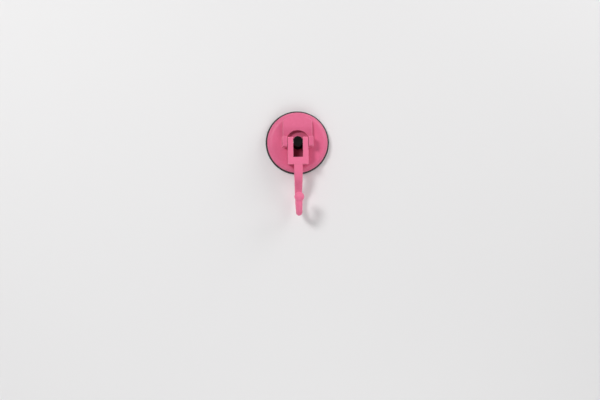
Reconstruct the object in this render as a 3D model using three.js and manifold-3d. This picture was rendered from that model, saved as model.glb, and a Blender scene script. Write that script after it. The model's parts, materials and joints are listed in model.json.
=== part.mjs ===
// A lever-lock suction hook: a soft suction cup, a round cap that presses the cup's rim to the wall,
// a stem moulded into the cup, and a hook whose forked head is a cam that pulls the stem outwards.
//
// Millimetres. The wall is the plane Y = 0, the hook stands out towards -Y, +X is to the right when the
// hook is faced, and +Z is up. The origin lies on the wall at the centre of the suction cup.
// The hook is drawn locked: it hangs down and holds the stem pulled out.
import * as THREE from "three";
import { mergeVertices } from "three/addons/utils/BufferGeometryUtils.js";
import Module from "manifold-3d";

const wasm = await Module();
wasm.setup();

// Suction cup
const cupRadius = 32.5;
const lipWidth = 7.5; // flat ring that seals against the wall
const lipEdge = 0.9; // rounding of the lip's outer edge
const shoulderHeight = 2.5; // rubber under the cap's rim
const shoulderWidth = 6.2; // flat top of that rubber
const chamberDepth = 3.4; // air space behind the middle of the locked cup
const membrane = 1.4; // rubber between the air space and the stem's flange
const bossWall = 3; // rubber round the stem's flange
const collar = 0.9; // rubber over the stem's flange

// Stem
const flangeRadius = 10;
const flangeThickness = 1.8;
const stalkRadius = 4.2; // round part that the cup is moulded round
const postRadius = 4.55; // round ends of the oblong post on the stalk
const postStretch = 0.8; // how far the post is drawn out, up and down
const postRound = 0.9; // rounding of the post's ends
const postPastPin = 3; // how far the post reaches beyond the pin's axis

// Pivot pin
const pinRadius = 1.5;
const pinChamfer = 0.3;
const pinRecess = 0.4; // each end lies this far inside the fork's side

// Cap
const rimShowing = 1.6; // black rim of the cup that shows past the cap
const capWall = 2;
const rimRound = 5.6; // width of the cap's rounded edge, seen from the front
const rimDrop = 5.8; // height of that rounded edge
const rampInset = 4.3; // from the cap's edge in to the ramp's foot
const rampWall = 4; // ramp on each side of the fork
const rampSink = 0.3; // how far the ramp's foot lies below the cap's flat
const rampRise = 4.2; // height of the ramp's level part over the cap's flat
const rampCrest = 14; // how far over the stem's axis the ramp turns level
const rampEdge = 0.7; // chamfer along the ramp's and ears' sides
const ribThickness = 1.6; // two ribs under the ramp
const ribOffset = 4.6; // from the middle plane to each rib
const earWall = 4.8; // ear on each side of the fork
const earLap = 0.6; // how far the ears reach above the fork
const earBottom = 4.9; // lower edge of the ears, under the stem's axis
const earRound = 2.2; // rounding of the ears' lower front edge
const earProud = 0.2; // how far the ears stand out past the lever's face
const archRise = 7.1; // height of the arch over the fork
const slotDrop = 7.5; // lower end of the stem's slot, under the stem's axis

// Lever head: a fork with a cam on each arm
const forkHalfWidth = 10.4;
const forkEdge = 0.6; // chamfer along the fork's outer sides
const windowBottom = 15.7; // lower edge of the fork's window, under the pin's axis
const barHeight = 7.2; // solid bar under the window
const headFront = 3.5; // from the pin's axis to the lever's face
const headCorner = 1.2; // rounding of the fork's upper front edge
const camLocked = 7.4; // from the pin's axis to the cap's flat while the hook hangs down
const camFree = 4.6; // the same while the hook stands straight out
const openAngle = Math.PI / 2; // how far the lever turns from locked to free
const camFlat = 2.8; // flat of the cam below its point of contact
const backRise = 0.9; // how far the head's back slopes away from the cap

// Hook
const shankWidth = 8.8;
const shankThickness = 5.6;
const shankInset = 0.3; // step from the head's face to the shank's face
const shankStraight = 4; // straight stretch below the head
const neckWidth = 7.3; // shank just above the bend
const shankSetBack = 10.2; // how far the shank leans in towards the wall
const shankSquareness = 5; // exponent of the shank's rounded rectangle
const hookSquareness = 2; // exponent of the hook's circle
const hookDrop = 52; // from the head's lower edge down to the hook's lowest point
const hookDiameter = 6.2; // round section of the bend and the tip
const bendRadius = 10.6; // at the middle of the section
const ballRadius = 4.9;
const tipRise = 5.3; // from the centre of the bend up to the ball's centre
const tipLean = 0.8; // how far the tip leans outwards

// Clearances
const mouldGap = 0.15; // rubber to the stem that it is moulded round
const seatGap = 0.3; // pieces that rest on each other
const slideGap = 0.3; // pieces that slide past each other
const sideGap = 0.35; // fork to the ears, and window to the post
const pinGap = 0.15; // pin to its bores

// Facets of the round shapes
const wideRound = 64;
const narrowRound = 36;
const arcSteps = 8;
const edgeSteps = 4;
const domeSteps = 7;
const camSteps = 12;
const hookSteps = 40;
const hookSides = 20;

// Levels, measured outwards from the wall
const flangeLevel = chamberDepth + membrane + mouldGap;
const collarLevel = flangeLevel + flangeThickness + mouldGap;
const bossLevel = collarLevel + collar;
const ceilingLevel = bossLevel + seatGap;
const flatLevel = ceilingLevel + capWall;
const rimLevel = shoulderHeight + seatGap;
const pinLevel = flatLevel + slideGap + camLocked;
const earLevel = pinLevel + headFront + earProud;
const postFoot = flatLevel + slideGap;
const postLevel = pinLevel + postPastPin;

// Widths and places that follow from the fits
const capRadius = cupRadius - rimShowing;
const bossRadius = flangeRadius + mouldGap + bossWall;
const stemHole = postRadius + slideGap;
const windowHalfWidth = postRadius + sideGap;
const slotHalfWidth = forkHalfWidth + sideGap;
const rampHalfWidth = slotHalfWidth + rampWall;
const rampReach = capRadius - rampInset;
const earHalfWidth = slotHalfWidth + earWall;
const earTop = camFree + earLap;
const pinBore = pinRadius + pinGap;
const archTop = camFree + archRise;
const headBottom = windowBottom + barHeight;
const hookBottom = headBottom + hookDrop;
const bendHeight = hookDiameter / 2 + bendRadius - hookBottom; // centre of the bend, over the pin's axis
const camLift = (camLocked - camFree) / openAngle; // stem travel for each radian of the lever

// Length that a cutting tool runs past what it cuts, and distance under which two corners are one
const past = 5;
const mergeDistance = 1e-4;

// A closed geometry as a solid that can be joined and cut.
function solidOf(geometry) {
  const bare = new THREE.BufferGeometry();
  bare.setAttribute("position", geometry.getAttribute("position"));
  bare.setIndex(geometry.index);
  const merged = mergeVertices(bare, mergeDistance);
  const corners = merged.index.array;
  const triangles = [];
  for (let i = 0; i < corners.length; i += 3) {
    const [a, b, c] = corners.slice(i, i + 3);
    if (a !== b && b !== c && c !== a) triangles.push(a, b, c);
  }
  const mesh = new wasm.Mesh({
    numProp: 3,
    vertProperties: merged.getAttribute("position").array,
    triVerts: new Uint32Array(triangles),
  });
  return new wasm.Manifold(mesh);
}

// A solid as a geometry that can be drawn.
function geometryOf(solid) {
  const mesh = solid.getMesh();
  const geometry = new THREE.BufferGeometry();
  geometry.setAttribute("position", new THREE.BufferAttribute(mesh.vertProperties, 3));
  geometry.setIndex(new THREE.BufferAttribute(mesh.triVerts, 1));
  geometry.computeVertexNormals();
  return geometry;
}

// A ring or disc turned about the stem's axis from a section of [radius, level] points.
function turned(section, facets) {
  const points = section.map(([radius, level]) => new THREE.Vector2(radius, -level));
  const closed = points[0].x > 0 ? [...points, points[0]] : points;
  if (THREE.ShapeUtils.area(points) < 0) closed.reverse();
  return solidOf(new THREE.LatheGeometry(closed, facets));
}

// Part of an ellipse as pairs of coordinates, from its start angle to its end angle.
function ellipseArc(centreA, centreB, sizeA, sizeB, start, end, steps = arcSteps) {
  const points = [];
  for (let i = 0; i <= steps; i++) {
    const angle = start + ((end - start) * i) / steps;
    points.push([centreA + sizeA * Math.cos(angle), centreB + sizeB * Math.sin(angle)]);
  }
  return points;
}

// A polygon from pairs of coordinates.
function polygon(points) {
  return new THREE.Shape(points.map(([a, b]) => new THREE.Vector2(a, b)));
}

// A shape drawn in the side view, Y to the right and Z up, extruded evenly to both sides of X = 0.
function acrossWidth(shape, halfWidth, chamfer = 0) {
  const geometry = new THREE.ExtrudeGeometry(shape, {
    depth: 2 * (halfWidth - chamfer),
    bevelEnabled: chamfer > 0,
    bevelThickness: chamfer,
    bevelSize: chamfer,
    bevelOffset: -chamfer,
    bevelSegments: 1,
  });
  geometry.translate(0, 0, chamfer - halfWidth);
  const sideView = new THREE.Matrix4().makeBasis(
    new THREE.Vector3(0, 1, 0),
    new THREE.Vector3(0, 0, 1),
    new THREE.Vector3(1, 0, 0),
  );
  return solidOf(geometry.applyMatrix4(sideView));
}

// An upright oblong of the front view with round ends, whose centres lie at the top and bottom heights.
function oblong(radius, top, bottom) {
  return polygon([
    ...ellipseArc(0, top, radius, radius, 0, Math.PI, 2 * arcSteps),
    ...ellipseArc(0, bottom, radius, radius, Math.PI, 2 * Math.PI, 2 * arcSteps),
  ]);
}

// A shape drawn in the front view, X to the right and Z up, extruded outwards between two levels.
function outwards(shape, fromLevel, toLevel, rounding = 0) {
  const geometry = new THREE.ExtrudeGeometry(shape, {
    depth: toLevel - fromLevel - 2 * rounding,
    bevelEnabled: rounding > 0,
    bevelThickness: rounding,
    bevelSize: rounding,
    bevelOffset: -rounding,
    bevelSegments: edgeSteps,
  });
  geometry.translate(0, 0, fromLevel + rounding);
  const frontView = new THREE.Matrix4().makeBasis(
    new THREE.Vector3(1, 0, 0),
    new THREE.Vector3(0, 0, 1),
    new THREE.Vector3(0, -1, 0),
  );
  return solidOf(geometry.applyMatrix4(frontView));
}

// A round bar along X through a point at the given distance outwards from the origin.
function barAlongWidth(radius, length, level) {
  const geometry = new THREE.CylinderGeometry(radius, radius, length, narrowRound);
  geometry.rotateZ(Math.PI / 2);
  geometry.translate(0, -level, 0);
  return solidOf(geometry);
}

// A polygon of the side view from [level, height] points.
function sideShape(points) {
  return polygon(points.map(([level, height]) => [-level, height]));
}

// The soft cup, locked: its lip lies on the wall and its middle is pulled out by the stem's flange.
function suctionCup() {
  const sealRadius = cupRadius - lipWidth;
  const shoulderRadius = cupRadius - lipEdge - shoulderWidth;
  const bossFoot = chamberDepth + membrane + flangeThickness / 2;
  const underside = [];
  const topside = [];
  for (let i = 0; i <= domeSteps; i++) {
    const share = i / domeSteps;
    const swell = (1 + Math.cos(Math.PI * share)) / 2;
    underside.push([flangeRadius + (sealRadius - flangeRadius) * share, chamberDepth * swell]);
    topside.push([
      bossRadius + (shoulderRadius - bossRadius) * share,
      shoulderHeight + (bossFoot - shoulderHeight) * swell,
    ]);
  }
  const edgeRadius = cupRadius - lipEdge;
  const edge = ellipseArc(edgeRadius, lipEdge, lipEdge, lipEdge, -Math.PI / 2, Math.PI / 6, edgeSteps);
  const pocketRadius = flangeRadius + mouldGap;
  const holeRadius = stalkRadius + mouldGap;
  return turned(
    [
      [0, chamberDepth],
      ...underside,
      ...edge,
      [cupRadius - 2 * lipEdge, shoulderHeight],
      ...topside.reverse(),
      [bossRadius, bossLevel],
      [holeRadius, bossLevel],
      [holeRadius, collarLevel],
      [pocketRadius, collarLevel],
      [pocketRadius, flangeLevel - mouldGap],
      [0, flangeLevel - mouldGap],
    ],
    wideRound,
  );
}

// The hard core that the cup is moulded round: a flange, a stalk, and an oblong post that the pin crosses.
function stem() {
  const core = turned(
    [
      [0, flangeLevel],
      [flangeRadius, flangeLevel],
      [flangeRadius, flangeLevel + flangeThickness],
      [stalkRadius, flangeLevel + flangeThickness],
      [stalkRadius, pinLevel],
      [0, pinLevel],
    ],
    narrowRound,
  );
  const post = outwards(oblong(postRadius, postStretch, -postStretch), postFoot, postLevel, postRound);
  return core.add(post).subtract(barAlongWidth(pinBore, 2 * postRadius + past, pinLevel));
}

// The steel pin, turned about its own length.
function pivotPin() {
  const halfLength = forkHalfWidth - pinRecess;
  const section = [
    [0, -halfLength],
    [pinRadius - pinChamfer, -halfLength],
    [pinRadius, -halfLength + pinChamfer],
    [pinRadius, halfLength - pinChamfer],
    [pinRadius - pinChamfer, halfLength],
    [0, halfLength],
  ];
  return turned(section, narrowRound);
}

// The cap's round dish as a full solid from a level up, or its hollow when it is shrunk by the wall.
function dish(fromLevel, shrink) {
  const edgeRadius = capRadius - rimRound;
  const edgeLevel = flatLevel - rimDrop;
  return turned(
    [
      [0, flatLevel - shrink],
      ...ellipseArc(edgeRadius, edgeLevel, rimRound - shrink, rimDrop - shrink, Math.PI / 2, 0),
      [capRadius - shrink, fromLevel],
      [0, fromLevel],
    ],
    wideRound,
  );
}

// Height of the ramp's face, outwards from the wall, at a height over the stem's axis.
function rampLevel(height) {
  const share = THREE.MathUtils.clamp((rampReach - height) / (rampReach - rampCrest), 0, 1);
  return flatLevel - rampSink + (rampRise + rampSink) * Math.sin((share * Math.PI) / 2);
}

// The ramp's face in the side view, or a line at a depth under it, between two heights.
function rampFace(from, to, depth) {
  const points = [];
  for (let i = 0; i <= arcSteps; i++) {
    const height = THREE.MathUtils.lerp(from, to, i / arcSteps);
    points.push([rampLevel(height) - depth, height]);
  }
  return points;
}

// The arch-topped slot over the cap's flat that the fork swings in.
function forkSlot() {
  const archRadius = (slotHalfWidth ** 2 + archRise ** 2) / (2 * archRise);
  const spring = Math.acos(slotHalfWidth / archRadius);
  const slot = polygon([
    [-slotHalfWidth, -cupRadius],
    [slotHalfWidth, -cupRadius],
    ...ellipseArc(0, archTop - archRadius, archRadius, archRadius, spring, Math.PI - spring, 2 * arcSteps),
  ]);
  return outwards(slot, flatLevel, earLevel + past);
}

// The slot in the cap's flat that the stem slides in. It shows in the lever's window, under the post.
function stemSlot() {
  return outwards(oblong(stemHole, postStretch, stemHole - slotDrop), 0, earLevel);
}

// A plain disc from the wall out to the ears' face, for trimming.
function disc(radius) {
  return turned([[0, 0], [radius, 0], [radius, earLevel], [0, earLevel]], wideRound);
}

// The hollow under the ramp, with its two ribs left standing.
function rampHollow() {
  const backWall = archTop + capWall;
  const steepest = ((rampRise + rampSink) * Math.PI) / 2 / (rampReach - rampCrest);
  const slant = capWall * Math.hypot(1, steepest);
  const shape = sideShape([
    [rimLevel, backWall],
    ...rampFace(backWall, rampReach, slant),
    [rimLevel, rampReach],
  ]);
  let hollow = acrossWidth(shape, rampHalfWidth - capWall).intersect(disc(rampReach - capWall));
  for (const side of [-1, 1]) {
    const rib = new THREE.BoxGeometry(ribThickness, 2 * earLevel, 2 * rampReach);
    rib.translate(side * ribOffset, 0, 0);
    hollow = hollow.subtract(solidOf(rib));
  }
  return hollow;
}

// The cap: dish, ramp and two ears in one moulding, open where the fork swings and the stem slides.
function cap() {
  const ramp = sideShape([
    [rimLevel, earTop - past],
    [rimLevel, capRadius],
    [rampLevel(capRadius), capRadius],
    ...rampFace(rampReach, rampCrest, 0),
    [rampLevel(rampCrest), earTop - past],
  ]);
  const ears = sideShape([
    [rimLevel, -earBottom],
    [rimLevel, earTop],
    [earLevel, earTop],
    ...ellipseArc(earLevel - earRound, earRound - earBottom, earRound, earRound, 0, -Math.PI / 2),
  ]);
  return dish(rimLevel, 0)
    .add(acrossWidth(ramp, rampHalfWidth, rampEdge).intersect(disc(rampReach)))
    .add(acrossWidth(ears, earHalfWidth, rampEdge))
    .subtract(forkSlot())
    .subtract(dish(0, capWall))
    .subtract(rampHollow())
    .subtract(stemSlot());
}

// Side view of the lever's head, about the pin's axis. The cam's face is drawn so that the stem's
// travel is in step with the lever's angle: its distance from the pin falls evenly as the lever opens.
function headShape() {
  const corner = camFree - headCorner;
  const outline = [
    [-headFront, -headBottom],
    ...ellipseArc(headCorner - headFront, corner, headCorner, headCorner, Math.PI, Math.PI / 2),
  ];
  for (let i = camSteps; i >= 0; i--) {
    const angle = (openAngle * i) / camSteps;
    const reach = camLocked - camLift * angle;
    outline.push([
      reach * Math.cos(angle) + camLift * Math.sin(angle),
      reach * Math.sin(angle) - camLift * Math.cos(angle),
    ]);
  }
  outline.push([camLocked, -camLift - camFlat], [camLocked - backRise, -headBottom]);
  return polygon(outline);
}

// Middle line of the hook in the side view, about the pin's axis, from inside the head to the ball.
function hookLine() {
  const face = -headFront + shankInset + shankThickness / 2;
  const start = -(windowBottom + headBottom) / 2;
  const lean = -headBottom - shankStraight;
  const back = face + shankSetBack;
  const ease = (lean - bendHeight) / 2;
  const line = new THREE.Path();
  line.moveTo(face, start);
  line.lineTo(face, lean);
  line.bezierCurveTo(face, lean - ease, back, bendHeight + ease, back, bendHeight);
  line.absarc(back - bendRadius, bendHeight, bendRadius, 0, -Math.PI, true);
  line.lineTo(back - 2 * bendRadius - tipLean, bendHeight + tipRise);
  return line;
}

// Half width, half thickness and squareness of the hook's section at a point of its middle line.
function hookSection(height, pastBottom) {
  const neck = THREE.MathUtils.smoothstep(-height, headBottom, -bendHeight);
  const slim = THREE.MathUtils.smoothstep(-height, -bendHeight - bendRadius, bendRadius - bendHeight);
  const bend = pastBottom ? 1 : slim;
  const round = pastBottom ? 1 : neck;
  const width = THREE.MathUtils.lerp(shankWidth, neckWidth, neck);
  return {
    halfWidth: THREE.MathUtils.lerp(width, hookDiameter, bend) / 2,
    halfThickness: THREE.MathUtils.lerp(shankThickness, hookDiameter, round) / 2,
    squareness: THREE.MathUtils.lerp(shankSquareness, hookSquareness, round),
  };
}

// The hook's bar, lofted along its middle line from a rounded rectangle to a circle.
function hookBar() {
  const line = hookLine();
  const positions = [];
  const corners = [];
  let lowest = Infinity;
  for (let step = 0; step <= hookSteps; step++) {
    const share = step / hookSteps;
    const middle = line.getPoint(share);
    const along = line.getTangent(share);
    const pastBottom = middle.y > lowest;
    lowest = Math.min(lowest, middle.y);
    const { halfWidth, halfThickness, squareness } = hookSection(middle.y, pastBottom);
    for (let side = 0; side < hookSides; side++) {
      const angle = (2 * Math.PI * side) / hookSides;
      const c = Math.cos(angle);
      const s = Math.sin(angle);
      const across = halfWidth * Math.sign(c) * Math.abs(c) ** (2 / squareness);
      const through = halfThickness * Math.sign(s) * Math.abs(s) ** (2 / squareness);
      positions.push(across, middle.x - along.y * through, middle.y + along.x * through);
    }
  }
  const ring = (step, side) => step * hookSides + (side % hookSides);
  for (let side = 0; side < hookSides; side++) {
    for (let step = 0; step < hookSteps; step++) {
      const [a, b] = [ring(step, side), ring(step, side + 1)];
      const [c, d] = [ring(step + 1, side + 1), ring(step + 1, side)];
      corners.push(a, c, b, a, d, c);
    }
    if (side > 0 && side < hookSides - 1) {
      corners.push(ring(0, 0), ring(0, side), ring(0, side + 1));
      corners.push(ring(hookSteps, 0), ring(hookSteps, side + 1), ring(hookSteps, side));
    }
  }
  const bar = new THREE.BufferGeometry();
  bar.setAttribute("position", new THREE.Float32BufferAttribute(positions, 3));
  bar.setIndex(corners);
  return solidOf(bar);
}

// The lever: fork, cams, shank, hook and ball in one moulding, drawn about the pin's axis.
function hookLever() {
  const opening = new THREE.BoxGeometry(
    2 * windowHalfWidth,
    2 * (camLocked + headFront + past),
    windowBottom + camFree + past,
  );
  opening.translate(0, 0, (camFree + past - windowBottom) / 2);
  const tip = hookLine().getPoint(1);
  const ball = new THREE.SphereGeometry(ballRadius, hookSides, hookSides);
  ball.rotateX(Math.PI / 2);
  ball.translate(0, tip.x, tip.y);
  return acrossWidth(headShape(), forkHalfWidth, forkEdge)
    .subtract(solidOf(opening))
    .subtract(barAlongWidth(pinBore, 2 * forkHalfWidth + past, 0))
    .add(hookBar())
    .add(solidOf(ball));
}

// A named piece with its material.
function piece(name, solid, material) {
  const mesh = new THREE.Mesh(geometryOf(solid), material);
  mesh.name = name;
  return mesh;
}

const pinkPlastic = new THREE.MeshStandardMaterial({ color: 0xe8608f, roughness: 0.42, metalness: 0 });
const blackRubber = new THREE.MeshStandardMaterial({ color: 0x1a1a1c, roughness: 0.65, metalness: 0 });
const blackPlastic = new THREE.MeshStandardMaterial({ color: 0x141415, roughness: 0.5, metalness: 0 });
const steel = new THREE.MeshStandardMaterial({ color: 0xb9bcc0, roughness: 0.3, metalness: 1 });

const pinAxis = new THREE.Group();
pinAxis.position.set(0, -pinLevel, 0);
const pin = piece("pivot_pin", pivotPin(), steel);
pin.rotation.z = Math.PI / 2;
pinAxis.add(pin, piece("hook_lever", hookLever(), pinkPlastic));

const suctionHook = new THREE.Group();
suctionHook.add(
  piece("suction_cup", suctionCup(), blackRubber),
  piece("cup_stem", stem(), blackPlastic),
  piece("cap", cap(), pinkPlastic),
  pinAxis,
);

export default suctionHook;
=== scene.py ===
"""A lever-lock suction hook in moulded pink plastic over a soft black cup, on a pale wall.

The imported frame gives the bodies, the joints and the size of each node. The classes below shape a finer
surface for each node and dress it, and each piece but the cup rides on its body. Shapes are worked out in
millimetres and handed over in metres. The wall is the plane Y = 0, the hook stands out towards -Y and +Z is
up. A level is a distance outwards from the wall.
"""

from __future__ import annotations

import json
import logging
import math
from dataclasses import dataclass, field
from enum import Enum
from typing import Callable, Sequence, Union

import bpy
import numpy as np
from mathutils import Matrix, Vector


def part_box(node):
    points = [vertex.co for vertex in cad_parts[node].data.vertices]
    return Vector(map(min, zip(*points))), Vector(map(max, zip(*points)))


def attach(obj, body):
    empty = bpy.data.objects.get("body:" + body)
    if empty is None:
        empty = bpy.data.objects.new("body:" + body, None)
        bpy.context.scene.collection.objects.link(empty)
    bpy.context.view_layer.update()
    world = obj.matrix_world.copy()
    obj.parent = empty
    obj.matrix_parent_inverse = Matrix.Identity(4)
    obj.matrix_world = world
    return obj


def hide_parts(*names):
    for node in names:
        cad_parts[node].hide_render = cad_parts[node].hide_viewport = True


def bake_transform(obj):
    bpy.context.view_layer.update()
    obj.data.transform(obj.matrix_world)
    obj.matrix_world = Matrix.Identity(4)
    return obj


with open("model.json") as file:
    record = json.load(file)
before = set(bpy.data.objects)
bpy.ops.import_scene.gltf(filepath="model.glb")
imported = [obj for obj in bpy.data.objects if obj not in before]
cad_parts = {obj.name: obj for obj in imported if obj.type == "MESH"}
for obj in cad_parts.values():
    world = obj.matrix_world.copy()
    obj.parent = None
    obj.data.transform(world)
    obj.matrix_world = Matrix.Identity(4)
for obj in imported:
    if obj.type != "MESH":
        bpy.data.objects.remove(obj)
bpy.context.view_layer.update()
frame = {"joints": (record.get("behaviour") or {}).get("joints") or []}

LOG = logging.getLogger("suction_hook")
MM = 0.001
EDGE_MARK = "edge"
CAVITY_MARK = "cavity"
FLAT_GUARD = 1e-9
MARK_GAIN = 6
# Sockets of the mixing node that take and give colours
MIX_FIRST, MIX_SECOND, MIX_RESULT = 6, 7, 2

Array = np.ndarray
Field = Callable[[Array, Array, Array], Array]
Colour = tuple[float, float, float]
Point = tuple[float, float, float]
Pair = tuple[float, float]
Socket = bpy.types.NodeSocket
Value = Union[float, Colour, Socket]


class Body(Enum):
    """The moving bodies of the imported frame."""

    CAP = "cap"
    STEM = "stem"
    LEVER = "lever"


class Slot(Enum):
    """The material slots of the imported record."""

    PINK = "pink_plastic"
    RUBBER = "black_rubber"
    CORE = "black_plastic"
    STEEL = "pin_steel"


class Node(Enum):
    """The nodes that the pieces stand for."""

    CAP = "cap"
    CUP = "suction_cup"
    STEM = "cup_stem"
    PIN = "pivot_pin"
    LEVER = "hook_lever"


# Reading the frame


def span(node: Node) -> tuple[Array, Array]:
    """Reads a node's box from the frame.

    Args:
        node: the node to measure.

    Returns:
        Its lowest and highest corners, in millimetres.
    """
    low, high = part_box(node.value)
    return np.array(low) / MM, np.array(high) / MM


def joint_place(name: str) -> Array:
    """Reads where a joint of the frame lies.

    Args:
        name: the joint's name.

    Returns:
        The joint's place, in millimetres.
    """
    joint = next(j for j in frame["joints"] if j["name"] == name)
    return np.array(joint["pos_m"]) / MM


# Solid shapes as fields: a field is below zero inside the shape and grows with the distance outside it


def rounded_join(first: Array, second: Array, fillet: float) -> Array:
    """Joins two shapes with a fillet between them.

    Args:
        first: field of one shape.
        second: field of the other.
        fillet: radius of the fillet.

    Returns:
        The field of both together.
    """
    reach = np.hypot(np.maximum(fillet - first, 0), np.maximum(fillet - second, 0))
    return np.maximum(np.minimum(first, second), fillet) - reach


def rounded_common(first: Array, second: Array, edge: float) -> Array:
    """Keeps what two shapes share, with a rounded edge between their faces.

    Args:
        first: field of one shape.
        second: field of the other.
        edge: radius of the rounded edge.

    Returns:
        The field of what they share.
    """
    reach = np.hypot(np.maximum(edge + first, 0), np.maximum(edge + second, 0))
    return np.minimum(np.maximum(first, second), -edge) + reach


def rounded_cut(shape: Array, tool: Array, edge: float) -> Array:
    """Cuts a tool out of a shape and rounds the edge that it leaves."""
    return rounded_common(shape, -tool, edge)


def inset(outline: Sequence[Pair], depth: float) -> list[Pair]:
    """Moves the sides of a clockwise convex outline inwards.

    Args:
        outline: its corners.
        depth: how far each side moves.

    Returns:
        The corners of the smaller outline.
    """
    corners = np.array(outline)
    along = np.roll(corners, -1, axis=0) - corners
    along /= np.linalg.norm(along, axis=1)[:, None]
    inwards = np.column_stack([along[:, 1], -along[:, 0]])
    before = np.roll(inwards, 1, axis=0)
    share = 1 + np.sum(inwards * before, axis=1)
    moved = corners + depth * (inwards + before) / share[:, None]
    return [(float(a), float(b)) for a, b in moved]


def outline_field(outline: Sequence[Pair], a: Array, b: Array) -> Array:
    """Measures the distance to a clockwise convex outline.

    Args:
        outline: its corners.
        a: first coordinate of the places to measure.
        b: second coordinate of the places to measure.

    Returns:
        The distance outside the outline, and below zero inside it.
    """
    shape = np.broadcast(a, b).shape
    outside = np.full(shape, np.inf)
    inside = np.full(shape, -np.inf)
    for (a0, b0), (a1, b1) in zip(outline, [*outline[1:], outline[0]]):
        da, db = a1 - a0, b1 - b0
        length = math.hypot(da, db)
        share = np.clip(((a - a0) * da + (b - b0) * db) / length**2, 0, 1)
        outside = np.minimum(outside, np.hypot(a - a0 - share * da, b - b0 - share * db))
        inside = np.maximum(inside, ((b - b0) * da - (a - a0) * db) / length)
    return np.where(inside < 0, inside, outside)


def ease(value: Array) -> Array:
    """Runs smoothly from 0 to 1 while the value does, and stays there."""
    share = np.clip(value, 0, 1)
    return share * share * (3 - 2 * share)


def arc(centre: Pair, sizes: Pair, ends: Pair, steps: int) -> list[Pair]:
    """Draws part of an ellipse.

    Args:
        centre: its centre.
        sizes: its half axes.
        ends: the angles that it runs between, in degrees.
        steps: how many stretches it is drawn with.

    Returns:
        The points, both ends among them.
    """
    angles = np.radians(np.linspace(ends[0], ends[1], steps + 1))
    return [(centre[0] + sizes[0] * math.cos(t), centre[1] + sizes[1] * math.sin(t)) for t in angles]


# Meshes


@dataclass
class Surface:
    """A closed surface: its points in millimetres, its faces and, where known, its exact normals."""

    points: Array
    faces: list[Array]
    normals: Array | None = None

    def neighbours(self) -> tuple[Array, Array]:
        """Lists the edges, each in both directions.

        Returns:
            The numbers of the points that they start at and end at.
        """
        pairs = []
        for block in self.faces:
            for turn in range(block.shape[1]):
                pairs.append(np.column_stack([block[:, turn], np.roll(block, -1, axis=1)[:, turn]]))
        both = np.vstack(pairs)
        both = np.unique(np.vstack([both, both[:, ::-1]]), axis=0)
        return both[:, 0], both[:, 1]

    def spread(self, values: Array, links: tuple[Array, Array]) -> Array:
        """Averages a value over each point's neighbours.

        Args:
            values: one row of numbers for each point.
            links: the edges, from neighbours().

        Returns:
            The averages, in the same form.
        """
        start, end = links
        count = len(self.points)
        many = np.bincount(start, minlength=count)
        rows = values.reshape(count, -1)
        sums = [np.bincount(start, weights=rows[end, i], minlength=count) for i in range(rows.shape[1])]
        return (np.column_stack(sums) / np.maximum(many, 1)[:, None]).reshape(values.shape)

    def marks(self, normals: Array, rounds: int) -> tuple[Array, Array]:
        """Finds outer edges and inner corners by how the surface bends.

        Args:
            normals: the surface's normals at its points.
            rounds: how often the marks are spread to the neighbours.

        Returns:
            The edge mark and the cavity mark of each point, from 0 to 1.
        """
        links = self.neighbours()
        start, end = links
        step = self.points[end] - self.points[start]
        length = np.maximum(np.linalg.norm(step, axis=1), FLAT_GUARD)
        rise = np.sum(step * normals[start], axis=1) / length
        many = np.maximum(np.bincount(start, minlength=len(self.points)), 1)
        bend = np.bincount(start, weights=rise, minlength=len(self.points)) / many
        for _ in range(rounds):
            bend = (bend + self.spread(bend, links)) / 2
        return np.clip(-bend * MARK_GAIN, 0, 1), np.clip(bend * MARK_GAIN, 0, 1)


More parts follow.
